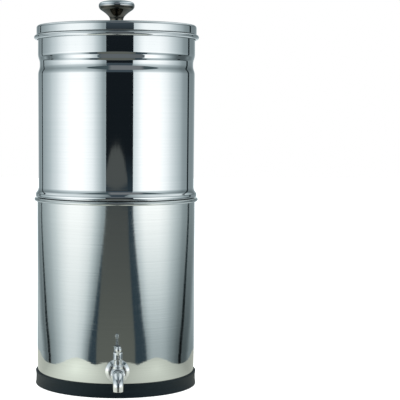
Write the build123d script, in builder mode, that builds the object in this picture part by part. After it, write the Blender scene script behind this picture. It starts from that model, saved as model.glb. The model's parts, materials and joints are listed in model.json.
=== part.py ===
"""Stacked gravity water filter with a lever tap, in millimetres.

+Z is up. The origin is on the chambers' axis, at the bottom of the rubber base ring. The tap points to -Y.
"""

import os
from math import asin, degrees

from build123d import *

# Sheet metal, and the gap left where one unit lifts off another
sheet = 0.8
gap = 0.3
running = 0.05

# Lower chamber: the radii are those of the inside skin, and the wall widens a little above its foot
floor_z = 3.0
foot_r = 105.9
foot_z = 12.0
foot_corner = 6.5
wall_r = 106.7
wall_z = 50.0
rim_z = 252.0
rim_tube = 2.5
rim_curl = 288.0

# Rubber base ring
ring_height = 18.0
ring_lip_r = 109.7
ring_waist_r = 108.8
ring_bore = 92.0
ring_round = 0.6

# Upper chamber: a foot that nests in the lower chamber, a bulge that sits on its rim, a groove near the top
nest_z = 232.0
nest_r = 104.8
nest_corner = 7.0
bulge_r = 109.0
bulge_height = 4.4
bulge_bend = 1.6
shell_r = 105.1
shell_z = 264.8
groove_r = 103.7
groove_bottom = 424.0
groove_floor = 430.3
groove_ceiling = 438.6
groove_top = 446.2
shell_top_r = 105.9
neck_r = 106.1
neck_rim_z = 471.8
neck_tube = 3.1
bend_r = 2.4

# Lid, its knob and their screw
lid_r = 109.0
lid_z = 488.0
lid_crown = 0.8
lid_corner = 3.5
seat_bend = 1.2
skirt_bend = 2.0
skirt_r = 105.4
skirt_depth = 10.0
knob_r = 24.5
knob_z = 522.7
brim_z = 515.2
knob_shoulder = (18.1, 521.1)
knob_belly = (18.9, 507.6)
knob_waist = (12.0, 502.0)
knob_neck_r = 9.0
knob_neck_z = 494.5
knob_foot_r = 10.5
knob_foot_height = 0.9
knob_flare_height = 2.4
knob_flare_r = 1.7
screw_r = 2.45
screw_length = 14.0
screw_head_r = 4.8
screw_head = 3.0
screw_round = 1.4
screw_play = 0.25
cross_width = 1.1
washer_r = 7.0
washer_thick = 1.0

# Candles stand on two of the four stem holes, blanking plugs close the other two
stem_circle = 55.0
stem_hole = 6.3
stem_r = 5.9
stem_bore = 3.0
stem_reach = 28.0
seal_r = 13.0
seal_thick = 3.0
mount_r = 27.5
mount_height = 14.0
mount_round = 1.5
candle_r = 25.5
candle_height = 150.0
candle_wall = 7.5
candle_shoulder = 22.0
core_r = 17.0
core_height = 127.0
core_bore = 4.0
wing_body_r = 8.0
wing_height = 8.0
wing_span = 12.0
wing_thick = 2.4
cap_r = 11.0
waist_r = 6.2
bulb_r = 7.4
plug_tail = 8.0
plug_rounds = (1.0, 0.4, 0, 0, 0.5, 1.0)

# Tap: its axis runs out along -Y at tap_z, and its upright column stands at column_y
tap_z = 35.2
tap_hole = 8.3
shank_r = 7.9
shank_end = 88.0
bore_r = 4.8
flange_back = 109.2
flange_r = 15.8
flange_rim = 1.0
flange_thick = 3.8
shoulder_r = 11.3
shoulder_thick = 1.2
barrel_r = 9.4
barrel_end = 141.5
barrel_round = 2.0
tap_rounds = (0.6, 0, 0.3, 0.9, 0.4, 0, 0.5, 0, barrel_round)
socket_depth = 4.0
port_r = 3.2
port_start = 124.0
tap_washer_r = 13.5
nut_face = 103.6
nut_flats = 24.0
nut_height = 6.0
spout_r = 7.6
spout_tip_r = 6.5
spout_y = 153.0
spout_bend = 12.0
spout_tip_z = 18.0
tip_round = 1.0
lip_round = 0.5

# Upright column: bonnet, plug with its spindle, and the lever on top
column_y = 131.0
column_r = 4.95
column_top = 54.1
boss_r = 6.4
boss_top = 45.4
boss_round = 0.4
bonnet_lip = 0.6
bonnet_cone = 2.8
bonnet_rounds = (0.3, 0, 0.2, 0.5, 1.5, 0.6)
thread_r = 5.6
thread_foot = 40.9
plug_r = 4.9
plug_foot = 29.3
plug_top = 40.6
spindle_r = 2.9
spindle_top = 62.0
o_ring_tube = 0.7
o_ring_heights = {"lower": 43.1, "upper": 50.6}
hub_r = 6.0
hub_foot = 54.4
hub_top = 64.3
hub_rounds = (0.8, 1.8)
arm_root_z = 60.6
arm_r = 2.6
arm_taper = 0.8
ball_r = 4.1
ball_y = 158.0
ball_z = 72.0
set_screw_r = 1.5
set_screw_z = 58.2
set_screw_turn = 15.0
key_flats = 1.5
key_depth = 1.6

nest_floor = nest_z + sheet
lid_seat = neck_rim_z + neck_tube + gap
lid_top = lid_z + lid_crown
head_z = lid_top - sheet - running - washer_thick
candle_seat = nest_floor + seal_thick
candle_foot = candle_seat + mount_height
tap_plane = Plane(origin=(0, 0, tap_z), x_dir=(0, -1, 0), z_dir=(-1, 0, 0))
tap_axis = Axis((0, 0, tap_z), (0, -1, 0))
column_plane = Plane(origin=(0, -column_y, 0), x_dir=(1, 0, 0), z_dir=(0, -1, 0))
column_axis = Axis((0, -column_y, 0), (0, 0, 1))

os.makedirs("parts", exist_ok=True)


# Lower unit

with BuildPart() as lower_chamber:
    with BuildSketch(Plane.XZ):
        with BuildLine():
            FilletPolyline(
                (0, floor_z + sheet),
                (foot_r, floor_z + sheet),
                (foot_r, foot_z),
                (wall_r, wall_z),
                (wall_r, rim_z),
                radius=(foot_corner, 0, 0),
            )
            CenterArc((wall_r + rim_tube, rim_z), rim_tube, 180, -rim_curl)
            offset(amount=sheet, side=Side.RIGHT)
        make_face()
    revolve(axis=Axis.Z)
    with BuildSketch(Plane.XZ.offset(flange_back)):
        with Locations((0, tap_z)):
            Circle(tap_hole)
    extrude(amount=shank_end - flange_back, mode=Mode.SUBTRACT)
lower_chamber.part.label = "lower_chamber"
export_step(lower_chamber.part, "parts/lower_chamber.step")

with BuildPart() as base_ring:
    with BuildSketch(Plane.XZ):
        with BuildLine():
            bed = FilletPolyline(
                (ring_bore, 0),
                (ring_bore, floor_z),
                (foot_r + sheet + gap, floor_z),
                (foot_r + sheet + gap, ring_height),
                radius=(0, foot_corner + sheet),
            )
            lip = Line(bed @ 1, (ring_lip_r, ring_height))
            flank = ThreePointArc(lip @ 1, (ring_waist_r, ring_height / 2), (ring_lip_r, 0))
            Line(flank @ 1, bed @ 0)
        make_face()
    revolve(axis=Axis.Z)
    fillet(base_ring.edges().filter_by(GeomType.CIRCLE).group_by(SortBy.RADIUS)[-1], ring_round)
base_ring.part.label = "base_ring"
export_step(base_ring.part, "parts/base_ring.step")


def filled_wall(inset):
    """The chamber's wall as a filled body, inset from its outside skin. It gives the washers their curve."""
    with BuildPart() as filled:
        with BuildSketch(Plane.XZ):
            Polygon(
                (0, foot_z),
                (foot_r + sheet - inset, foot_z),
                (wall_r + sheet - inset, wall_z),
                (0, wall_z),
                align=None,
            )
        revolve(axis=Axis.Z)
    return filled.part


with BuildPart() as tap_outer_washer:
    with BuildSketch(Plane.XZ.offset(flange_back)):
        with Locations((0, tap_z)):
            Circle(tap_washer_r)
            Circle(tap_hole, mode=Mode.SUBTRACT)
    extrude(amount=shank_end - flange_back)
    add(filled_wall(-running), mode=Mode.SUBTRACT)
tap_outer_washer.part.label = "tap_outer_washer"
export_step(tap_outer_washer.part, "parts/tap_outer_washer.step")

with BuildPart() as tap_inner_washer:
    with BuildSketch(Plane.XZ.offset(nut_face)):
        with Locations((0, tap_z)):
            Circle(tap_washer_r)
            Circle(tap_hole, mode=Mode.SUBTRACT)
    extrude(amount=flange_back - nut_face)
    add(filled_wall(sheet + running), mode=Mode.INTERSECT)
tap_inner_washer.part.label = "tap_inner_washer"
export_step(tap_inner_washer.part, "parts/tap_inner_washer.step")

with BuildPart() as tap_lock_nut:
    with BuildSketch(Plane.XZ.offset(nut_face)):
        with Locations((0, tap_z)):
            RegularPolygon(radius=nut_flats / 2, side_count=6, major_radius=False)
            Circle(shank_r + running, mode=Mode.SUBTRACT)
    extrude(amount=-nut_height)
tap_lock_nut.part.label = "tap_lock_nut"
export_step(tap_lock_nut.part, "parts/tap_lock_nut.step")

with BuildPart() as tap_body:
    with BuildSketch(tap_plane):
        with BuildLine():
            flange_front = flange_back + flange_thick
            skin = FilletPolyline(
                (shank_end, 0),
                (shank_end, shank_r),
                (flange_back, shank_r),
                (flange_back, flange_r),
                (flange_back + flange_rim, flange_r),
                (flange_front, shoulder_r + shoulder_thick / 2),
                (flange_front, shoulder_r),
                (flange_front + shoulder_thick, shoulder_r),
                (flange_front + shoulder_thick, barrel_r),
                (barrel_end, barrel_r),
                (barrel_end, 0),
                radius=tap_rounds,
            )
            Line(skin @ 1, skin @ 0)
        make_face()
    revolve(axis=tap_axis)
    with BuildSketch(Plane.XY.offset(tap_z)):
        with Locations((0, -column_y)):
            Circle(boss_r)
    extrude(amount=boss_top - tap_z)
    boss_rim = tap_body.edges().filter_by_position(Axis.Z, boss_top - gap, boss_top + gap)
    fillet(boss_rim, radius=boss_round)
    socket_y = barrel_end - socket_depth
    for start, end, radius in (
        (shank_end, port_start, bore_r),
        (port_start, socket_y, port_r),
        (socket_y, barrel_end, spout_r + running),
    ):
        with BuildSketch(Plane.XZ.offset(start)):
            with Locations((0, tap_z)):
                Circle(radius)
        extrude(amount=end - start, mode=Mode.SUBTRACT)
    for start, end, radius in (
        (plug_foot - running, thread_foot, plug_r + running),
        (thread_foot, boss_top, thread_r + running),
    ):
        with BuildSketch(Plane.XY.offset(start)):
            with Locations((0, -column_y)):
                Circle(radius)
        extrude(amount=end - start, mode=Mode.SUBTRACT)
tap_body.part.label = "tap_body"
export_step(tap_body.part, "parts/tap_body.step")

with BuildPart() as spout:
    with BuildLine(tap_plane) as spout_path:
        FilletPolyline(
            (barrel_end - socket_depth + running, 0),
            (spout_y, 0),
            (spout_y, spout_tip_z - tap_z),
            radius=spout_bend,
        )
    for end, radius in ((0, spout_r), (1, spout_tip_r)):
        with BuildSketch(Plane(origin=spout_path.line @ end, z_dir=spout_path.line % end)):
            Circle(radius)
    sweep(path=spout_path.line, multisection=True)
    with BuildSketch(Plane(origin=spout_path.line @ 0, z_dir=spout_path.line % 0)):
        Circle(bore_r)
    sweep(path=spout_path.line, mode=Mode.SUBTRACT)
    for order, radius in ((-1, tip_round), (0, lip_round)):
        tip = spout.edges().group_by(Axis.Z)[0].sort_by(SortBy.LENGTH)
        fillet(tip[order], radius=radius)
spout.part.label = "spout"
export_step(spout.part, "parts/spout.step")

with BuildPart() as tap_bonnet:
    with BuildSketch(column_plane):
        with BuildLine():
            shell = FilletPolyline(
                (spindle_r + running, thread_foot),
                (thread_r, thread_foot),
                (thread_r, boss_top),
                (boss_r, boss_top),
                (boss_r, boss_top + bonnet_lip),
                (column_r, boss_top + bonnet_cone),
                (column_r, column_top),
                (spindle_r + running, column_top),
                radius=bonnet_rounds,
            )
            Line(shell @ 1, shell @ 0)
        make_face()
        groove_size = 2 * o_ring_tube + running
        with Locations([(spindle_r, height) for height in o_ring_heights.values()]):
            Rectangle(2 * groove_size, groove_size, mode=Mode.SUBTRACT)
    revolve(axis=column_axis)
tap_bonnet.part.label = "tap_bonnet"
export_step(tap_bonnet.part, "parts/tap_bonnet.step")

for end, height in o_ring_heights.items():
    with BuildPart() as stem_seal:
        with Locations((0, -column_y, height)):
            Torus(spindle_r + running + o_ring_tube, o_ring_tube)
    stem_seal.part.label = f"stem_seal_{end}"
    export_step(stem_seal.part, f"parts/stem_seal_{end}.step")


# Tap lever, with the plug that it turns

with BuildPart() as valve_plug:
    with BuildSketch(Plane.XY.offset(plug_foot)):
        with Locations((0, -column_y)):
            Circle(plug_r)
    extrude(amount=plug_top - plug_foot)
    with BuildSketch(Plane.XY.offset(plug_top)):
        with Locations((0, -column_y)):
            Circle(spindle_r)
    extrude(amount=spindle_top - plug_top)
    with BuildSketch(Plane.YZ):
        with Locations((-column_y, tap_z)):
            Circle(port_r)
    extrude(amount=plug_r, both=True, mode=Mode.SUBTRACT)
valve_plug.part.label = "valve_plug"
export_step(valve_plug.part, "parts/valve_plug.step")

screw_side = Vector(0, -1, 0).rotate(Axis.Z, set_screw_turn)
screw_plane = Plane(origin=(0, -column_y, set_screw_z), z_dir=screw_side)

with BuildPart() as tap_lever:
    with BuildSketch(column_plane):
        with BuildLine():
            hub = FilletPolyline(
                (0, hub_foot),
                (hub_r, hub_foot),
                (hub_r, hub_top),
                (0, hub_top),
                radius=hub_rounds,
            )
            Line(hub @ 1, hub @ 0)
        make_face()
    revolve(axis=column_axis)
    arm_start = Vector(0, -column_y, arm_root_z)
    ball_centre = Vector(0, -ball_y, ball_z)
    with BuildSketch(Plane(origin=arm_start, z_dir=ball_centre - arm_start)):
        Circle(arm_r)
    extrude(amount=(ball_centre - arm_start).length, taper=arm_taper)
    with Locations(ball_centre):
        Sphere(ball_r)
    with BuildSketch(Plane.XY.offset(hub_foot)):
        with Locations((0, -column_y)):
            Circle(spindle_r + running)
    extrude(amount=spindle_top + gap - hub_foot, mode=Mode.SUBTRACT)
    with BuildSketch(screw_plane):
        Circle(set_screw_r + running)
    extrude(amount=2 * hub_r, mode=Mode.SUBTRACT)
tap_lever.part.label = "tap_lever"
export_step(tap_lever.part, "parts/tap_lever.step")

with BuildPart() as lever_screw:
    with BuildSketch(screw_plane.offset(spindle_r + running)):
        Circle(set_screw_r)
    extrude(amount=hub_r - spindle_r - 2 * gap)
    with BuildSketch(screw_plane.offset(hub_r - key_depth)):
        RegularPolygon(radius=key_flats / 2, side_count=6, major_radius=False)
    extrude(amount=hub_r, mode=Mode.SUBTRACT)
lever_screw.part.label = "lever_screw"
export_step(lever_screw.part, "parts/lever_screw.step")


# Upper unit

with BuildPart() as upper_chamber:
    with BuildSketch(Plane.XZ):
        with BuildLine():
            bulge_seat = rim_z + rim_tube + gap + sheet
            FilletPolyline(
                (0, nest_floor),
                (nest_r, nest_floor),
                (nest_r, bulge_seat),
                (bulge_r, bulge_seat),
                (bulge_r, bulge_seat + bulge_height),
                (shell_r, shell_z),
                (shell_top_r, groove_bottom),
                (groove_r, groove_floor),
                (groove_r, groove_ceiling),
                (neck_r, groove_top),
                (neck_r, neck_rim_z),
                radius=(nest_corner, bulge_bend, bulge_bend) + (bend_r,) * 6,
            )
            CenterArc((neck_r + neck_tube, neck_rim_z), neck_tube, 180, -rim_curl)
            offset(amount=sheet, side=Side.RIGHT)
        make_face()
    revolve(axis=Axis.Z)
    with BuildSketch(Plane.XY.offset(nest_z)):
        with PolarLocations(stem_circle, 4):
            Circle(stem_hole)
    extrude(amount=sheet, mode=Mode.SUBTRACT)
upper_chamber.part.label = "upper_chamber"
export_step(upper_chamber.part, "parts/upper_chamber.step")

for side, x in (("left", -stem_circle), ("right", stem_circle)):
    section = Plane(origin=(x, 0, 0), x_dir=(1, 0, 0), z_dir=(0, -1, 0))
    stem_axis = Axis((x, 0, 0), (0, 0, 1))

    with BuildPart() as ceramic_dome:
        with BuildSketch(section):
            with BuildLine():
                FilletPolyline(
                    (0, candle_foot + candle_height),
                    (candle_r, candle_foot + candle_height),
                    (candle_r, candle_foot),
                    radius=candle_shoulder,
                )
                offset(amount=candle_wall, side=Side.RIGHT)
            make_face()
        revolve(axis=stem_axis)
    ceramic_dome.part.label = f"ceramic_dome_{side}"
    export_step(ceramic_dome.part, f"parts/ceramic_dome_{side}.step")

    with BuildPart() as carbon_core:
        with BuildSketch(Plane.XY.offset(candle_foot)):
            with Locations((x, 0)):
                Circle(core_r)
                Circle(core_bore, mode=Mode.SUBTRACT)
        extrude(amount=core_height)
    carbon_core.part.label = f"carbon_core_{side}"
    export_step(carbon_core.part, f"parts/carbon_core_{side}.step")

    with BuildPart() as candle_mount:
        with BuildSketch(Plane.XY.offset(candle_seat)):
            with Locations((x, 0)):
                Circle(mount_r)
        extrude(amount=mount_height)
        rims = candle_mount.edges().filter_by(GeomType.CIRCLE)
        fillet(rims, radius=mount_round)
        with BuildSketch(Plane.XY.offset(nest_floor - stem_reach)):
            with Locations((x, 0)):
                Circle(stem_r)
        extrude(amount=stem_reach + seal_thick)
        with BuildSketch(Plane.XY.offset(nest_floor - stem_reach)):
            with Locations((x, 0)):
                Circle(stem_bore)
        extrude(amount=stem_reach + seal_thick + mount_height, mode=Mode.SUBTRACT)
    candle_mount.part.label = f"candle_mount_{side}"
    export_step(candle_mount.part, f"parts/candle_mount_{side}.step")

    with BuildPart() as candle_washer:
        with BuildSketch(Plane.XY.offset(nest_floor)):
            with Locations((x, 0)):
                Circle(seal_r)
                Circle(stem_r + running, mode=Mode.SUBTRACT)
        extrude(amount=seal_thick)
    candle_washer.part.label = f"candle_washer_{side}"
    export_step(candle_washer.part, f"parts/candle_washer_{side}.step")

    with BuildPart() as wing_nut:
        with BuildSketch(Plane.XY.offset(nest_z - wing_height)):
            with Locations((x, 0)):
                Circle(wing_body_r)
        extrude(amount=wing_height)
        with BuildSketch(section):
            reach = wing_body_r + wing_span / 4
            with Locations((-reach, nest_z - wing_height), (reach, nest_z - wing_height)):
                RectangleRounded(wing_span, wing_span, wing_span / 3)
        extrude(amount=wing_thick / 2, both=True)
        with BuildSketch(Plane.XY.offset(nest_z)):
            with Locations((x, 0)):
                Circle(stem_r + running)
        extrude(amount=-stem_reach, mode=Mode.SUBTRACT)
    wing_nut.part.label = f"wing_nut_{side}"
    export_step(wing_nut.part, f"parts/wing_nut_{side}.step")

for side, y in (("front", -stem_circle), ("back", stem_circle)):
    with BuildPart() as blanking_plug:
        with BuildSketch(Plane(origin=(0, y, 0), x_dir=(1, 0, 0), z_dir=(0, -1, 0))):
            with BuildLine():
                rubber = FilletPolyline(
                    (0, nest_floor + seal_thick),
                    (cap_r, nest_floor + seal_thick),
                    (cap_r, nest_floor),
                    (waist_r, nest_floor),
                    (waist_r, nest_z),
                    (bulb_r, nest_z),
                    (waist_r, nest_z - plug_tail),
                    (0, nest_z - plug_tail),
                    radius=plug_rounds,
                )
                Line(rubber @ 1, rubber @ 0)
            make_face()
        revolve(axis=Axis((0, y, 0), (0, 0, 1)))
    blanking_plug.part.label = f"blanking_plug_{side}"
    export_step(blanking_plug.part, f"parts/blanking_plug_{side}.step")


# Lid unit

with BuildPart() as lid:
    with BuildSketch(Plane.XZ):
        with BuildLine():
            flat_r = lid_r - lid_corner - gap
            crown_r = (flat_r**2 + lid_crown**2) / (2 * lid_crown)
            crown = JernArc((0, lid_top), (1, 0), crown_r, -degrees(asin(flat_r / crown_r)))
            FilletPolyline(
                crown @ 1,
                (lid_r, lid_z),
                (lid_r, lid_seat),
                (skirt_r, lid_seat),
                (skirt_r, lid_seat - skirt_depth),
                radius=(lid_corner, seat_bend, skirt_bend),
            )
            offset(amount=sheet, side=Side.RIGHT)
        make_face()
    revolve(axis=Axis.Z)
    with BuildSketch(Plane.XY.offset(lid_top)):
        Circle(screw_r + screw_play)
    extrude(amount=-2 * sheet, mode=Mode.SUBTRACT)
lid.part.label = "lid"
export_step(lid.part, "parts/lid.step")

with BuildPart() as lid_knob:
    with BuildSketch(Plane.XZ):
        with BuildLine():
            crown = Spline(
                (0, knob_z),
                knob_shoulder,
                (knob_r, brim_z),
                tangents=[(1, 0), (0, -1)],
            )
            stem = Spline(
                crown @ 1,
                knob_belly,
                knob_waist,
                (knob_neck_r, knob_neck_z),
                tangents=[(0, -1), (0, -1)],
            )
            foot = Line(stem @ 1, (knob_neck_r, lid_top + knob_flare_height))
            flare = RadiusArc(foot @ 1, (knob_foot_r, lid_top + knob_foot_height), -knob_flare_r)
            base = Polyline(flare @ 1, (knob_foot_r, lid_top), (0, lid_top), crown @ 0)
        make_face()
    revolve(axis=Axis.Z)
    with BuildSketch(Plane.XY.offset(lid_top)):
        Circle(screw_r + running)
    extrude(amount=screw_length + gap, mode=Mode.SUBTRACT)
lid_knob.part.label = "lid_knob"
export_step(lid_knob.part, "parts/lid_knob.step")

with BuildPart() as knob_washer:
    with BuildSketch(Plane.XY.offset(head_z)):
        Circle(washer_r)
        Circle(screw_r + screw_play, mode=Mode.SUBTRACT)
    extrude(amount=washer_thick)
knob_washer.part.label = "knob_washer"
export_step(knob_washer.part, "parts/knob_washer.step")

with BuildPart() as knob_screw:
    with BuildSketch(Plane.XY.offset(head_z - screw_head)):
        Circle(screw_head_r)
    extrude(amount=screw_head)
    fillet(knob_screw.edges().group_by(Axis.Z)[0], radius=screw_round)
    with BuildSketch(Plane.XY.offset(head_z)):
        Circle(screw_r)
    extrude(amount=lid_top + screw_length - head_z)
    with BuildSketch(Plane.XY.offset(head_z - screw_head)):
        Rectangle(screw_head_r, cross_width)
        Rectangle(cross_width, screw_head_r)
    extrude(amount=screw_head / 2, mode=Mode.SUBTRACT)
knob_screw.part.label = "knob_screw"
export_step(knob_screw.part, "parts/knob_screw.step")
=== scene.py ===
import bpy, bmesh, json
from functools import partial
from math import cos, degrees, hypot, pi, radians, sin, tan
from mathutils import Matrix, Vector


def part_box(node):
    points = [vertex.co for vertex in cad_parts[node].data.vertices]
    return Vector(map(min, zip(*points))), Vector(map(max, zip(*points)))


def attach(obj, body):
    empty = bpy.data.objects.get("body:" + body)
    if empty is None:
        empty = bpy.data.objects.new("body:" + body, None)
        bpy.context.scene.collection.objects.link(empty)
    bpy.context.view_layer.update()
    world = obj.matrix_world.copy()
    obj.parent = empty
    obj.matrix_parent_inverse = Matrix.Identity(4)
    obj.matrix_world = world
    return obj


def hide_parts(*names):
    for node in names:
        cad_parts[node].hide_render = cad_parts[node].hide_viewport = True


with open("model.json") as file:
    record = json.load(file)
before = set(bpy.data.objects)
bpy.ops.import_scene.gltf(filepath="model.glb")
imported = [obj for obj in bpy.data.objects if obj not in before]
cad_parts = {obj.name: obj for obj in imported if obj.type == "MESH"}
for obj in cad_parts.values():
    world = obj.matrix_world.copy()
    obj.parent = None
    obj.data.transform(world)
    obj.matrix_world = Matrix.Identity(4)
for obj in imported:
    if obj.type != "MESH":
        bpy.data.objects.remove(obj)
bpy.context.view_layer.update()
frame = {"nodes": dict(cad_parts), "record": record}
nodes = frame["nodes"]
print("frame loaded,", len(nodes), "nodes")


# Shader nodes

def hexColor(text):
    parts = [int(text[i:i + 2], 16) / 255 for i in (1, 3, 5)]
    linear = [p / 12.92 if p <= 0.04045 else ((p + 0.055) / 1.055) ** 2.4 for p in parts]
    return (*linear, 1.0)


def perMm(size):
    return 1000 / size  # a pattern's scale for a feature of this size


def liveSocket(sockets, key=0):
    # The sockets of a node's other modes stay in its list, switched off. The key is a name or a place.
    live = [s for s in sockets if s.enabled]
    return live[key] if isinstance(key, int) else next(s for s in live if s.name == key)


def addNode(tree, kind, inputs, **settings):
    # An input is a value, a socket, or a node that gives its first output
    node = tree.nodes.new("ShaderNode" + kind)
    for name, value in settings.items():
        setattr(node, name, value)
    for key, value in inputs.items():
        socket = liveSocket(node.inputs, key)
        if isinstance(value, bpy.types.Node):
            value = liveSocket(value.outputs)
        if isinstance(value, bpy.types.NodeSocket):
            tree.links.new(value, socket)
        else:
            socket.default_value = value
    return node


def newMaterial(name):
    material = bpy.data.materials.new(name)
    material.use_nodes = True
    material.node_tree.nodes.clear()
    add = partial(addNode, material.node_tree)
    return material, add, add("TexCoord", {}).outputs["Object"]


# Materials

def addSurface(add, look, pattern, relief, shader, roughPattern=None):
    # Colour and roughness each run between two values along a pattern, and one pattern stands in relief
    low, high = look.get("contrast", (0.3, 0.7))  # most of a noise lies between these
    blend = add("MapRange", {"Value": pattern, "From Min": low, "From Max": high})
    color = add("Mix", {"Factor": blend, "A": look["dark"], "B": look["light"]}, data_type="RGBA")
    roughness = add("MapRange", {"Value": roughPattern or pattern, "From Min": low, "From Max": high,
                                 "To Min": look["smooth"], "To Max": look["rough"]})
    bump = add("Bump", {"Height": relief, "Distance": look["depth"] / 1000, "Strength": look.get("bump", 1)})
    surface = add("BsdfPrincipled", {"Base Color": color, "Roughness": roughness, "Normal": bump, **shader})
    add("OutputMaterial", {"Surface": surface})


def mirrorSteel():
    # 18/8 stainless sheet buffed to a mirror: sharp reflections, faint haze lines left by the buffing wheel
    look = {"dark": hexColor("#c8cccd"), "light": hexColor("#cccfd0"), "smooth": 0.028, "rough": 0.042,
            "depth": 0.012, "haze": (300, 300, 1.8), "wave": (70, 70, 116.7)}
    material, add, spot = newMaterial("mirrorPolishedStainlessSteel")
    around = add("Mapping", {"Vector": spot, "Scale": [perMm(size) for size in look["haze"]]})
    haze = add("TexNoise", {"Vector": around, "Scale": 1, "Detail": 3})
    sheet = add("Mapping", {"Vector": spot, "Scale": [perMm(size) for size in look["wave"]]})
    wave = add("TexNoise", {"Vector": sheet, "Scale": 1, "Detail": 1})  # the sheet isn't quite true
    addSurface(add, look, haze, wave, {"Metallic": 1})
    return material


def brushedSteel():
    # The same sheet brushed with a fine belt: reflections smear up and down, crossed by fine level lines.
    # Real lines are 0.2 mm apart. These are coarser, so that they show.
    look = {"dark": hexColor("#bfc3c2"), "light": hexColor("#c3c7c6"), "smooth": 0.05, "rough": 0.085,
            "depth": 0.009, "lines": (300, 300, 1.125), "scratches": (75, 75, 1.8)}
    material, add, spot = newMaterial("beltBrushedStainlessSteel")
    around = add("Mapping", {"Vector": spot, "Scale": [perMm(size) for size in look["lines"]]})
    lines = add("TexNoise", {"Vector": around, "Scale": 1, "Detail": 3, "Roughness": 0.7})
    broken = add("Mapping", {"Vector": spot, "Scale": [perMm(size) for size in look["scratches"]]})
    scratches = add("TexNoise", {"Vector": broken, "Scale": 1, "Detail": 2, "Roughness": 0.6})
    tangent = add("Tangent", {}, direction_type="RADIAL", axis="Z")
    addSurface(add, look, lines, scratches, {"Metallic": 1, "Anisotropic": 0.88, "Tangent": tangent},
               roughPattern=scratches)
    return material


def polishedTap():
    # Turned brass under bright chrome plate: a white mirror with faint marks of handling
    look = {"dark": hexColor("#cccfd1"), "light": hexColor("#dbdee0"), "smooth": 0.05, "rough": 0.1,
            "depth": 0.01, "marks": 3}
    material, add, spot = newMaterial("chromePlatedBrass")
    marks = add("TexNoise", {"Vector": spot, "Scale": perMm(look["marks"]), "Detail": 2})
    addSurface(add, look, marks, marks, {"Metallic": 1})
    return material


def darkKnob():
    # Cast zinc under black nickel plate: a brownish black mirror, with a painted highlight along the brim
    # where the base colour turns pale
    look = {"dark": hexColor("#5b5750"), "light": hexColor("#6a665e"), "paintedHighlightDark": hexColor("#c3c8cc"),
            "paintedHighlightPale": hexColor("#cfd4d8"), "smooth": 0.06, "rough": 0.12, "depth": 0.02, "blotches": 9,
            "brimFrom": 9.2, "brimTo": 6.2}  # mm below the top of the knob
    material, add, spot = newMaterial("blackNickelPlatedZinc")
    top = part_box("lid_knob")[1].z
    height = add("SeparateXYZ", {"Vector": spot}).outputs["Z"]
    # Painted highlight: over the brim the base colour turns pale, standing in for the brim's bright
    # reflections
    brim = add("MapRange", {"Value": height, "From Min": top - look["brimFrom"] / 1000,
                            "From Max": top - look["brimTo"] / 1000})
    dark = add("Mix", {"Factor": brim, "A": look["dark"], "B": look["paintedHighlightDark"]}, data_type="RGBA")
    light = add("Mix", {"Factor": brim, "A": look["light"], "B": look["paintedHighlightPale"]}, data_type="RGBA")
    blotches = add("TexNoise", {"Vector": spot, "Scale": perMm(look["blotches"]), "Detail": 3})
    addSurface(add, {**look, "dark": dark, "light": light}, blotches, blotches, {"Metallic": 1})
    return material


def turnedSteel():
    # Machined stainless hardware: satin, with fine cutter lines
    look = {"dark": hexColor("#a9adad"), "light": hexColor("#bfc2c1"), "smooth": 0.22, "rough": 0.36,
            "depth": 0.02, "marks": (1.2, 1.2, 0.4)}
    material, add, spot = newMaterial("turnedStainlessSteel")
    around = add("Mapping", {"Vector": spot, "Scale": [perMm(size) for size in look["marks"]]})
    marks = add("TexNoise", {"Vector": around, "Scale": 1, "Detail": 3})
    addSurface(add, look, marks, marks, {"Metallic": 1})
    return material


def ringRubber():
    # Moulded EPDM: black with a bluish sheen, a fine mould grain and faint level flow bands
    look = {"dark": hexColor("#04090d"), "light": hexColor("#091117"), "sheen": hexColor("#cdeeff"),
            "smooth": 0.44, "rough": 0.56, "depth": 0.06, "bump": 0.6, "grain": 0.8, "bands": (60, 60, 5)}
    material, add, spot = newMaterial("mouldedBlackRubber")
    grain = add("TexNoise", {"Vector": spot, "Scale": perMm(look["grain"]), "Detail": 3})
    around = add("Mapping", {"Vector": spot, "Scale": [perMm(size) for size in look["bands"]]})
    bands = add("TexNoise", {"Vector": around, "Scale": 1, "Detail": 2})
    addSurface(add, look, bands, grain, {"IOR": 1.45, "Specular IOR Level": 0.32,
                                         "Specular Tint": look["sheen"]}, roughPattern=grain)
    return material


def greySilicone():
    # Pressed silicone: slightly waxy light grey with a soft sheen
    look = {"dark": hexColor("#989b9b"), "light": hexColor("#a8abaa"), "smooth": 0.38, "rough": 0.5,
            "depth": 0.03, "cloud": 4, "glowDepth": 2}
    material, add, spot = newMaterial("pressedGreySilicone")
    cloud = add("TexNoise", {"Vector": spot, "Scale": perMm(look["cloud"]), "Detail": 2})
    addSurface(add, look, cloud, cloud, {"IOR": 1.41, "Subsurface Weight": 0.25,
                                         "Subsurface Radius": [look["glowDepth"] / 1000] * 3})
    return material


def candleCeramic():
    # Unglazed diatomite ceramic: chalk white, dry, pitted with fine pores
    look = {"dark": hexColor("#e2dccd"), "light": hexColor("#f1ede3"), "smooth": 0.82, "rough": 0.95,
            "depth": 0.12, "bump": 0.5, "pores": 1.6, "cloud": 18}
    material, add, spot = newMaterial("unglazedCeramic")
    pores = add("TexVoronoi", {"Vector": spot, "Scale": perMm(look["pores"])})
    cloud = add("TexNoise", {"Vector": spot, "Scale": perMm(look["cloud"]), "Detail": 4})
    addSurface(add, look, cloud, pores, {"IOR": 1.5})
    return material


def carbonBlock():
    # Pressed activated carbon: dull black with a gritty grain
    look = {"dark": hexColor("#0e0e0e"), "light": hexColor("#222221"), "contrast": (0, 0.8), "smooth": 0.7,
            "rough": 0.95, "depth": 0.2, "bump": 0.8, "grit": 0.9}
    material, add, spot = newMaterial("pressedCarbon")
    grit = add("TexVoronoi", {"Vector": spot, "Scale": perMm(look["grit"])})
    addSurface(add, look, grit, grit, {"IOR": 1.6})
    return material


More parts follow.
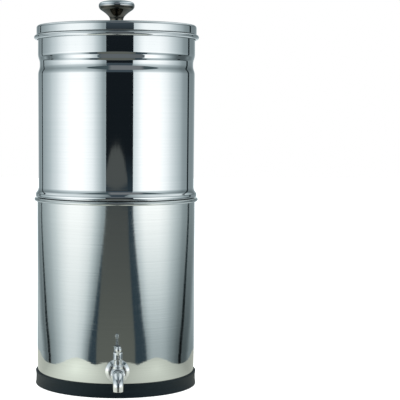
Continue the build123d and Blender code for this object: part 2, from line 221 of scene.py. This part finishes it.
def foodPlastic():
    # Moulded polypropylene: milky white, low gloss, faint flow marks
    look = {"dark": hexColor("#dcdfdd"), "light": hexColor("#e9ebe8"), "smooth": 0.32, "rough": 0.42,
            "depth": 0.03, "flow": (12, 12, 6), "glowDepth": 3}
    material, add, spot = newMaterial("mouldedPolypropylene")
    along = add("Mapping", {"Vector": spot, "Scale": [perMm(size) for size in look["flow"]]})
    flow = add("TexNoise", {"Vector": along, "Scale": 1, "Detail": 2})
    addSurface(add, look, flow, flow, {"IOR": 1.49, "Subsurface Weight": 0.15,
                                       "Subsurface Radius": [look["glowDepth"] / 1000] * 3})
    return material


finishes = {
    "brushed_steel": brushedSteel(),
    "polished_steel": mirrorSteel(),
    "dark_chrome": darkKnob(),
    "tap_chrome": polishedTap(),
    "steel_hardware": turnedSteel(),
    "black_rubber": ringRubber(),
    "grey_silicone": greySilicone(),
    "white_ceramic": candleCeramic(),
    "carbon_block": carbonBlock(),
    "white_plastic": foodPlastic(),
}
for part in frame["record"]["subparts"]:
    mesh = nodes[part["node"]].data
    mesh.materials.clear()
    mesh.materials.append(finishes[part["material_slot"]])
print("materials made,", len(finishes))


# Turned shapes

def startLine(corners):
    # Corners are (radius, height, rounding) in mm, drawn in the plane of the axis
    bm = bmesh.new()
    verts = [bm.verts.new((r / 1000, 0, z / 1000)) for r, z, rounding in corners]
    for a, b in zip(verts, verts[1:]):
        bm.edges.new((a, b))
    rounded = []
    for i, (r, z, rounding) in enumerate(corners):
        if rounding:
            before = (verts[i - 1].co - verts[i].co).normalized()
            after = (verts[i + 1].co - verts[i].co).normalized()
            rounded.append((verts[i], rounding / 1000 / tan(before.angle(after) / 2)))
    for vert, reach in rounded:
        bmesh.ops.bevel(bm, geom=[vert], offset=reach, offset_type="OFFSET", segments=6, profile=0.5,
                        affect="VERTICES", material=-1)
    return bm


def curlRim(bm, r, z, tube, turn, steps=26):
    end = min(bm.verts, key=lambda v: hypot(v.co.x - r / 1000, v.co.z - z / 1000))
    bmesh.ops.spin(bm, geom=[end], cent=((r + tube) / 1000, 0, z / 1000), axis=(0, 1, 0), angle=radians(turn),
                   steps=steps)


def holdStraight(bm, shortest=0.006, cuts=4, gap=0.0004):
    # Long runs get rows close to both ends, so that their mirror stays true right up to the bends
    for run in [e for e in bm.edges if e.calc_length() > shortest]:
        start, end = [v.co.copy() for v in run.verts]
        along = (end - start).normalized() * gap
        inner = bmesh.ops.subdivide_edges(bm, edges=[run], cuts=cuts)["geom_inner"]
        rows = [v for v in inner if isinstance(v, bmesh.types.BMVert)]
        rows.sort(key=lambda v: (v.co - start).length)
        rows[0].co, rows[-1].co = start + along, end - along


def turnAround(bm, steps=256):
    bmesh.ops.spin(bm, geom=bm.verts[:] + bm.edges[:], cent=(0, 0, 0), axis=(0, 0, 1), angle=2 * pi,
                   steps=steps, use_merge=True)
    bmesh.ops.remove_doubles(bm, verts=bm.verts, dist=0.00001)
    bmesh.ops.recalc_face_normals(bm, faces=bm.faces)


def pierce(bm, centre, axis, radius):
    # Opens a round hole in a skin: the faces inside go, and the edge that's left is drawn onto the circle
    def offAxis(point):
        arm = point - centre
        return arm - axis * arm.dot(axis)
    inside = [f for f in bm.faces if offAxis(f.calc_center_median()).length < radius
              and (f.calc_center_median() - centre).length < 3 * radius]
    rim = {v for f in inside for v in f.verts}
    bmesh.ops.delete(bm, geom=inside, context="FACES")
    for v in rim:
        if v.is_valid:
            arm = offAxis(v.co)
            v.co += arm.normalized() * radius - arm


def finishPiece(bm, name, body, node, sharp=40):
    mesh = bpy.data.meshes.new(name)
    bm.to_mesh(mesh)
    bm.free()
    mesh.shade_smooth()
    mesh.set_sharp_from_angle(angle=radians(sharp))
    piece = bpy.data.objects.new(name, mesh)
    bpy.context.scene.collection.objects.link(piece)
    slot = next(p["material_slot"] for p in frame["record"]["subparts"] if p["node"] == node)
    mesh.materials.append(finishes[slot])
    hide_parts(node)
    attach(piece, body)


def thicken(bm, sheet):
    bmesh.ops.solidify(bm, geom=bm.faces[:], thickness=sheet / 1000)
    bmesh.ops.recalc_face_normals(bm, faces=bm.faces)


def frameSize(node):
    # Outer radius, bottom and top of a CAD piece in mm. Facets fall a little short of the round sizes.
    low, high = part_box(node)
    return [round(size * 1000, 1) for size in (high.x, low.z, high.z)]


def lowerShell():
    size = {"sheet": 0.8, "tube": 2.5, "curl": 288, "taper": 0.8, "footTop": 12, "footRound": 6.5,
            "wallFoot": 50, "tapHole": 8.3, "tapRows": (24, 48)}  # mm, curl in degrees
    outerR, bottom, top = frameSize("lower_chamber")
    floor, rim = bottom + size["sheet"], top - size["tube"]
    wallR = outerR - 2 * size["tube"]
    footR = wallR - size["taper"]
    lean = size["taper"] / (size["wallFoot"] - size["footTop"])
    tapRows = [(footR + (z - size["footTop"]) * lean, z, 0) for z in range(*size["tapRows"], 2)]
    bm = startLine([(0, floor, 0), (footR, floor, size["footRound"]), (footR, size["footTop"], 0), *tapRows,
                    (wallR, size["wallFoot"], 0), (wallR, rim, 0)])
    curlRim(bm, wallR, rim, size["tube"], size["curl"])
    holdStraight(bm)
    turnAround(bm)
    tapBottom, tapTop = frameSize("tap_body")[1:]
    tapHole = Vector((0, -wallR, (tapBottom + tapTop) / 2)) / 1000
    pierce(bm, tapHole, Vector((0, 1, 0)), size["tapHole"] / 1000)
    thicken(bm, size["sheet"])
    finishPiece(bm, "lowerShell", "lower_unit", "lower_chamber")


def upperShell():
    size = {"sheet": 0.8, "tube": 3.1, "curl": 288, "nestR": 104.8, "nestRound": 7, "seat": 255.6,
            "bulgeR": 109, "bulgeTop": 260, "bulgeRound": 1.6, "wallFoot": 264.8, "wallFootIn": 1,
            "wallBend": 11, "wallTopIn": 0.2, "groove": (424, 430.3, 438.6, 446.2), "grooveIn": 2.4,
            "grooveBend": 15, "stemCircle": 55, "stemHole": 6.3, "stemRows": (46, 66)}  # mm, curl in degrees
    outerR, bottom, top = frameSize("upper_chamber")
    floor, rim = bottom + size["sheet"], top - size["tube"]
    neckR = outerR - 2 * size["tube"]
    grooveR = neckR - size["grooveIn"]
    low, deep, high, neck = size["groove"]  # where its four bends stand
    soft = size["grooveBend"]
    stemRows = [(r, floor, 0) for r in range(*size["stemRows"], 2)]
    bm = startLine([(0, floor, 0), *stemRows, (size["nestR"], floor, size["nestRound"]),
                    (size["nestR"], size["seat"], size["bulgeRound"]),
                    (size["bulgeR"], size["seat"], size["bulgeRound"]),
                    (size["bulgeR"], size["bulgeTop"], size["bulgeRound"]),
                    (neckR - size["wallFootIn"], size["wallFoot"], size["wallBend"]),
                    (neckR - size["wallTopIn"], low, soft), (grooveR, deep, soft), (grooveR, high, soft),
                    (neckR, neck, soft), (neckR, rim, 0)])
    curlRim(bm, neckR, rim, size["tube"], size["curl"])
    holdStraight(bm)
    turnAround(bm)
    firstStem = Vector((size["stemCircle"], 0, floor)) / 1000
    for quarter in range(4):
        stem = Matrix.Rotation(quarter * pi / 2, 3, "Z") @ firstStem
        pierce(bm, stem, Vector((0, 0, 1)), size["stemHole"] / 1000)
    thicken(bm, size["sheet"])
    finishPiece(bm, "upperShell", "upper_unit", "upper_chamber")


def lidShell():
    size = {"sheet": 0.8, "crown": 0.8, "crownRows": 9, "crownGap": 0.3, "edgeRound": 3.5, "seat": 475.2,
            "seatRound": 1.2, "skirtR": 105.4, "skirtRound": 2, "hole": 2.7}
    outerR, bottom, top = frameSize("lid")
    edge = top - size["crown"]
    flat = outerR - size["edgeRound"] - size["crownGap"]
    steps = [i / size["crownRows"] for i in range(size["crownRows"] + 1)]
    crown = [(max(size["hole"], flat * step), edge + size["crown"] * (1 - step ** 2), 0) for step in steps]
    bm = startLine([*crown, (outerR, edge, size["edgeRound"]), (outerR, size["seat"], size["seatRound"]),
                    (size["skirtR"], size["seat"], size["skirtRound"]), (size["skirtR"], bottom, 0)])
    holdStraight(bm)
    turnAround(bm)
    thicken(bm, size["sheet"])
    finishPiece(bm, "lidShell", "lid_unit", "lid")


lowerShell()
upperShell()
lidShell()
print("shells turned")


# The camera stands a little left of the tap and looks slightly down. Most of the framing is shift.
shot = {"distance": 1.797, "eye": 0.364, "side": -1.2, "lens": 118.25, "tilt": 2.1, "roll": 0.16,
        "shiftX": 0.2095, "shiftY": -0.0873}


# Studio

def tentLean(add, turn, rise):
    # The walls stand on the floor, so their edges draw together as the eye goes down to it
    lean = {"horizon": -4.1, "foot": -9.9, "groundNear": -18, "groundFar": -26, "curve": 1.4, "pivot": 75,
            "pinch": 0.54, "skirting": (-8.8, -10.6), "skirtingPinch": 0.2}
    down = add("MapRange", {"Value": rise, "From Min": lean["horizon"], "From Max": lean["foot"]})
    level = add("MapRange", {"Value": rise, "From Min": lean["groundFar"], "From Max": lean["groundNear"]})
    sink = add("Math", {0: down, 1: level}, operation="MINIMUM")
    fall = add("Math", {0: sink, 1: lean["curve"]}, operation="POWER")
    start, end = lean["skirting"]
    skirting = add("MapRange", {"Value": rise, "From Min": start, "From Max": end, "To Min": 1,
                                "To Max": 1 + lean["skirtingPinch"]})
    pinch = add("Math", {0: fall, 1: lean["pinch"], 2: skirting}, operation="MULTIPLY_ADD")
    off = add("Math", {0: turn}, operation="ABSOLUTE")
    past = add("Math", {0: off, 1: lean["pivot"]}, operation="SUBTRACT")
    bent = add("Math", {0: past, 1: pinch, 2: lean["pivot"]}, operation="MULTIPLY_ADD")
    bent = add("Math", {0: bent, 1: 0}, operation="MAXIMUM")
    side = add("Math", {0: bent, 1: add("Math", {0: turn}, operation="SIGN")}, operation="MULTIPLY")
    return side, sink, fall


def wallGlow(add, turn, rise, side, sink):
    # How bright the walls are all the way round, and what they lose towards the floor and the roof
    fades = {-179: 0.5, -160: 0.24, -148: 0.24, -113: 0.48, -94: 0.73, -72: 0.98, -50: 0.98, -33: 0.76,
             -22: 0.44, -15: 0.33, 24: 0.6, 33: 0.85, 42: 1.0, 64: 1.0, 85: 0.74, 110: 0.38, 126: 0.25,
             160: 0.24, 179: 0.5}
    floorLoss = {"left": 0.32, "moreRight": 0.26, "front": (20, 35), "back": (178, 150)}
    roofLoss = {"eaves": (0, 14, 0.42), "roof": (16, 30, 0.17)}  # from one angle to another, how much
    ground = {"start": -16, "end": -24, "glow": 0.5}  # outside the cloth, evenly lit
    glow = add("ValToRGB", {0: add("MapRange", {"Value": side, "From Min": -180, "From Max": 180})})
    band = glow.color_ramp
    band.interpolation = "CARDINAL"
    for place, value in fades.items():
        stop = band.elements.new(0.5 + place / 360)
        stop.color = (value, value, value, 1)
    band.elements.remove(band.elements[0])
    band.elements.remove(band.elements[-1])
    right = 1
    for start, end in (floorLoss["front"], floorLoss["back"]):
        ramp = add("MapRange", {"Value": turn, "From Min": start, "From Max": end})
        right = add("Math", {0: right, 1: ramp}, operation="MINIMUM")
    low = add("Math", {0: right, 1: floorLoss["moreRight"], 2: floorLoss["left"]}, operation="MULTIPLY_ADD")
    low = add("Math", {0: sink, 1: low}, operation="MULTIPLY")
    rest = add("Math", {0: 1, 1: low}, operation="SUBTRACT")
    for start, end, loss in roofLoss.values():
        high = add("MapRange", {"Value": rise, "From Min": start, "From Max": end, "To Max": loss})
        rest = add("Math", {0: rest, 1: high}, operation="SUBTRACT")
    bright = add("Math", {0: glow, 1: rest}, operation="MULTIPLY")
    below = add("MapRange", {"Value": rise, "From Min": ground["start"], "From Max": ground["end"],
                             "To Max": ground["glow"]})
    return add("Math", {0: bright, 1: below}, operation="MAXIMUM")


def tentWalls(add, wayX, bright, overhead, rise, side, fall):
    # The roof is lit but for a gap that runs over the filter, and dark seams stand at the back of the walls
    gap = {"edges": (0.12, 0.56), "inside": 0.15, "outside": 0.68}
    seams = {-140: 2.0, 131: 2.6}  # angle and half width
    flare = 3.4  # what a seam's half width gains on its way to the floor
    seamEnds = {"roof": (34, 28), "ground": (-16, -12)}
    start, end = gap["edges"]
    across = add("Math", {0: wayX}, operation="ABSOLUTE")
    aside = add("MapRange", {"Value": across, "From Min": start, "From Max": end, "To Min": gap["inside"],
                             "To Max": gap["outside"]})
    bright = add("Mix", {"Factor": overhead, "A": bright, "B": aside})
    tone = add("Mix", {"Factor": bright, "A": hexColor("#dff8ff"), "B": hexColor("#ffffff")},
               data_type="RGBA")
    walls = add("Mix", {"Factor": 1, "A": tone, "B": bright}, data_type="RGBA", blend_type="MULTIPLY")
    upright = 1
    for start, end in seamEnds.values():
        ramp = add("MapRange", {"Value": rise, "From Min": start, "From Max": end})
        upright = add("Math", {0: upright, 1: ramp}, operation="MINIMUM")
    shadow = add("Mix", {"Factor": fall, "A": hexColor("#1c2427"), "B": hexColor("#06080a")},
                 data_type="RGBA")
    for seam, width in seams.items():
        width = add("Math", {0: fall, 1: flare, 2: width}, operation="MULTIPLY_ADD")
        away = add("Math", {0: side, 1: seam}, operation="SUBTRACT")
        away = add("Math", {0: away}, operation="ABSOLUTE")
        thin = add("Math", {0: away, 1: width}, operation="LESS_THAN")
        thin = add("Math", {0: thin, 1: upright}, operation="MULTIPLY")
        walls = add("Mix", {"Factor": thin, "A": walls, "B": shadow}, data_type="RGBA")
    return walls


def mouthRoom(add, turn, rise, fall):
    # Through the mouth the room is black, with blue curtains and a grey floor that ends in points
    floor = {"top": -1.4, "points": -0.9, "pointScale": 1.1, "curve": 0.4, "spread": 13.9, "width": 17,
             "nearWidth": 11}
    sill = {"top": -3.45, "round": -3.72, "bottom": -3.84, "curve": 0.5}  # dark, across the floor
    curtain = {"top": -2.2, "bottom": -4.6, "dark": hexColor("#12171b"), "blue": hexColor("#2e3b43")}
    ceiling = {"start": 3.6, "end": 4.1, "color": hexColor("#39434a")}
    below = add("MapRange", {"Value": rise, "From Min": curtain["top"], "From Max": curtain["bottom"]})
    folds = add("Mix", {"Factor": below, "A": curtain["dark"], "B": curtain["blue"]}, data_type="RGBA")
    along = add("Math", {0: turn, 1: floor["pointScale"]}, operation="MULTIPLY")
    points = add("TexNoise", {"W": along, "Scale": 1, "Detail": 2}, noise_dimensions="1D")
    tips = add("Math", {0: points, 1: floor["points"], 2: floor["top"]}, operation="MULTIPLY_ADD")
    depth = add("Math", {0: tips, 1: rise}, operation="SUBTRACT")
    depth = add("Math", {0: depth, 1: 0}, operation="MAXIMUM")
    edge = add("Math", {0: depth, 1: floor["curve"]}, operation="POWER")
    edge = add("Math", {0: edge, 1: floor["spread"]}, operation="MULTIPLY")
    widest = add("Math", {0: fall, 1: floor["nearWidth"], 2: floor["width"]}, operation="MULTIPLY_ADD")
    edge = add("Math", {0: edge, 1: widest}, operation="MINIMUM")
    aboveSill = add("MapRange", {"Value": rise, "From Min": sill["round"], "From Max": sill["top"]})
    aboveSill = add("Math", {0: aboveSill, 1: sill["curve"]}, operation="POWER")
    belowSill = add("Math", {0: rise, 1: sill["bottom"]}, operation="LESS_THAN")
    clear = add("Math", {0: aboveSill, 1: belowSill}, operation="MAXIMUM")
    edge = add("Math", {0: edge, 1: clear}, operation="MULTIPLY")
    off = add("Math", {0: turn}, operation="ABSOLUTE")
    onFloor = add("Math", {0: off, 1: edge}, operation="LESS_THAN")
    grey = add("Mix", {"Factor": fall, "A": hexColor("#474a49"), "B": hexColor("#595c57")}, data_type="RGBA")
    room = add("Mix", {"Factor": onFloor, "A": folds, "B": grey}, data_type="RGBA")
    above = add("MapRange", {"Value": rise, "From Min": ceiling["start"], "From Max": ceiling["end"]})
    return add("Mix", {"Factor": above, "A": room, "B": ceiling["color"]}, data_type="RGBA")


def pointedLeaf(add, leaf, shown, lit, turn, rise):
    # The roof above the mouth and the floor below it show as leaves, with a point on the left and the right
    across = add("Math", {0: turn, 1: leaf["turn"]}, operation="SUBTRACT")
    across = add("Math", {0: across}, operation="ABSOLUTE")
    beyond = add("Math", {0: across, 1: leaf["half"]}, operation="SUBTRACT")
    beyond = add("Math", {0: beyond, 1: 0}, operation="MAXIMUM")
    beyond = add("Math", {0: beyond, 1: leaf["taper"]}, operation="MULTIPLY")
    reach = add("Math", {0: rise, 1: leaf["side"]}, operation="MULTIPLY")
    reach = add("Math", {0: reach, 1: beyond}, operation="SUBTRACT")
    there = add("MapRange", {"Value": reach, "From Min": leaf["rise"],
                             "From Max": leaf["rise"] + leaf["soft"], "To Max": shown})
    outer = add("MapRange", {"Value": across, "From Min": leaf["half"],
                             "From Max": leaf["half"] + leaf["blend"]})
    tone = add("Mix", {"Factor": outer, "A": hexColor(leaf["inner"]), "B": hexColor(leaf["outer"])},
               data_type="RGBA")
    return add("Mix", {"Factor": there, "A": lit, "B": tone}, data_type="RGBA")


def studioAir():
    # A light tent around the filter: two glowing walls, the open mouth behind the camera between them, thin
    # seams at the back, a dim roof. Angles are degrees, and turns are counted from the camera's side.
    tent = {"mouth": 4.75, "mouthHalf": 19.55, "overhead": (30, 44), "roofPitch": 20, "strength": 1.75}
    roofLeaf = {"turn": 16, "half": 24, "rise": 22, "side": 1, "taper": 0.3, "soft": 2, "blend": 6,
                "inner": "#6a6d70", "outer": "#3f4c50"}
    floorLeaf = {"turn": 8, "half": 31, "rise": 22, "side": -1, "taper": 0.9, "soft": 2, "blend": 6,
                 "inner": "#5a5f62", "outer": "#4c595e"}
    world = bpy.data.worlds.new("lightTent")
    bpy.context.scene.world = world
    world.use_nodes = True
    world.node_tree.nodes.clear()
    add = partial(addNode, world.node_tree)
    wayX, wayY, wayZ = add("SeparateXYZ", {"Vector": add("TexCoord", {}).outputs["Generated"]}).outputs
    front = add("Math", {0: wayY, 1: -1}, operation="MULTIPLY")
    bearing = add("Math", {0: wayX, 1: front}, operation="ARCTAN2")
    turn = add("Math", {0: bearing, 1: degrees(1), 2: -shot["side"]}, operation="MULTIPLY_ADD")
    rise = add("Math", {0: add("Math", {0: wayZ}, operation="ARCSINE"), 1: degrees(1)}, operation="MULTIPLY")
    side, sink, fall = tentLean(add, turn, rise)

    start, end = tent["overhead"]
    tipped = add("Math", {0: wayY, 1: tent["roofPitch"], 2: rise}, operation="MULTIPLY_ADD")
    overhead = add("MapRange", {"Value": tipped, "From Min": start, "From Max": end})
    bright = wallGlow(add, turn, rise, side, sink)
    walls = tentWalls(add, wayX, bright, overhead, rise, side, fall)
    room = mouthRoom(add, turn, rise, fall)
    fromMouth = add("Math", {0: side, 1: tent["mouth"]}, operation="SUBTRACT")
    fromMouth = add("Math", {0: fromMouth}, operation="ABSOLUTE")
    inMouth = add("Math", {0: fromMouth, 1: tent["mouthHalf"]}, operation="LESS_THAN")
    lit = add("Mix", {"Factor": inMouth, "A": walls, "B": room}, data_type="RGBA")
    notOverhead = add("Math", {0: 1, 1: overhead}, operation="SUBTRACT")
    lit = pointedLeaf(add, roofLeaf, notOverhead, lit, turn, rise)
    lit = pointedLeaf(add, floorLeaf, 1, lit, turn, rise)

    tentLight = add("Background", {"Color": lit, "Strength": tent["strength"]})
    paper = add("Background", {"Color": hexColor("#ffffff"), "Strength": 1})  # seen beside the filter
    seen = add("LightPath", {}).outputs["Is Camera Ray"]
    add("OutputWorld", {"Surface": add("MixShader", {0: seen, 1: tentLight, 2: paper})})


def stagePiece(name, bm):
    mesh = bpy.data.meshes.new(name)
    bm.to_mesh(mesh)
    bm.free()
    piece = bpy.data.objects.new(name, mesh)
    bpy.context.scene.collection.objects.link(piece)
    return piece


def paleFloor():
    bm = bmesh.new()
    bmesh.ops.create_grid(bm, x_segments=1, y_segments=1, size=6)
    floor = stagePiece("floor", bm)
    floor.visible_glossy = False  # what the steel mirrors is the cloth
    material, add = newMaterial("whitePaper")[:2]
    paper = add("BsdfPrincipled", {"Base Color": hexColor("#f4f4f3"), "Roughness": 0.9,
                                   "Emission Color": hexColor("#ffffff"), "Emission Strength": 0.8})
    add("OutputMaterial", {"Surface": paper})
    floor.data.materials.append(material)


def cloth():
    # The cream cloth under the filter, with a scalloped hem. Only the steel sees it.
    hem = {0: 0.335, 9: 0.32, 16: 0.304, 25: 0.286, 50: 0.372, 84: 0.25, 128: 0.3, 180: 0.45}
    light = {"spot": (0.19, -0.17, 0), "near": 1.7, "far": 0.78, "reach": 0.2, "right": 0.76,
             "rightSpan": (-0.1, 0.2)}
    wedge = {"slope": 0.42, "offset": 0.064, "soft": 0.012, "start": -0.15, "end": -0.17, "dim": 0.08}
    height = 0.0002
    outline = list(hem.items()) + [(-turn, reach) for turn, reach in list(hem.items())[-2:0:-1]]
    bm = bmesh.new()
    bm.faces.new([bm.verts.new((reach * sin(radians(turn)), -reach * cos(radians(turn)), height))
                  for turn, reach in outline])
    piece = stagePiece("cloth", bm)
    piece.visible_camera = piece.visible_shadow = piece.visible_diffuse = False

    material, add, spot = newMaterial("creamCloth")
    across, along = add("SeparateXYZ", {"Vector": spot}).outputs[:2]
    outward = add("Math", {0: across}, operation="ABSOLUTE")
    folded = add("CombineXYZ", {"X": outward, "Y": along})
    # Brightest where the tent's walls shine on it, and less on the right
    away = add("VectorMath", {0: folded, 1: light["spot"]}, operation="DISTANCE")
    glow = add("MapRange", {"Value": away, "From Max": light["reach"], "To Min": light["near"],
                            "To Max": light["far"]})
    start, end = light["rightSpan"]
    right = add("MapRange", {"Value": across, "From Min": start, "From Max": end, "To Min": 1,
                             "To Max": light["right"]})
    glow = add("Math", {0: glow, 1: right}, operation="MULTIPLY")
    # The tap keeps the light off a wedge ahead of it
    slant = add("Math", {0: along, 1: wedge["slope"], 2: wedge["offset"]}, operation="MULTIPLY_ADD")
    inside = add("MapRange", {"Value": add("Math", {0: outward, 1: slant}, operation="ADD"),
                              "From Max": -wedge["soft"]})
    ahead = add("MapRange", {"Value": along, "From Min": wedge["start"], "From Max": wedge["end"]})
    ahead = add("Math", {0: inside, 1: ahead}, operation="MULTIPLY")
    dim = add("MapRange", {"Value": ahead, "To Min": 1, "To Max": wedge["dim"]})
    glow = add("Math", {0: glow, 1: dim}, operation="MULTIPLY")
    linen = add("BsdfPrincipled", {"Base Color": hexColor("#1c1c1a"), "Roughness": 0.9,
                                   "Emission Color": hexColor("#e9ede1"), "Emission Strength": glow})
    add("OutputMaterial", {"Surface": linen})
    piece.data.materials.append(material)


studioAir()
paleFloor()
cloth()

lamp = bpy.data.lights.new("topLight", "AREA")
lamp.shape, lamp.size, lamp.energy = "DISK", 2.4, 30
topLight = bpy.data.objects.new("topLight", lamp)
topLight.location = (0, 0, 2.4)
topLight.visible_glossy = False
bpy.context.scene.collection.objects.link(topLight)

view = bpy.data.cameras.new("camera")
view.lens, view.sensor_width = shot["lens"], 36
view.shift_x, view.shift_y = shot["shiftX"], shot["shiftY"]
view.clip_end = 50
camera = bpy.data.objects.new("camera", view)
camera.matrix_world = (Matrix.Rotation(radians(shot["side"]), 4, "Z")
                       @ Matrix.Translation((0, -shot["distance"], shot["eye"]))
                       @ Matrix.Rotation(radians(90 - shot["tilt"]), 4, "X")
                       @ Matrix.Rotation(radians(shot["roll"]), 4, "Z"))
bpy.context.scene.collection.objects.link(camera)
bpy.context.scene.camera = camera
bpy.context.scene.view_settings.view_transform = "Standard"
cycles = bpy.context.scene.cycles
cycles.max_bounces = 24  # light has to reach down between the chambers' mirror walls
cycles.glossy_bounces = 16
print("studio lit")
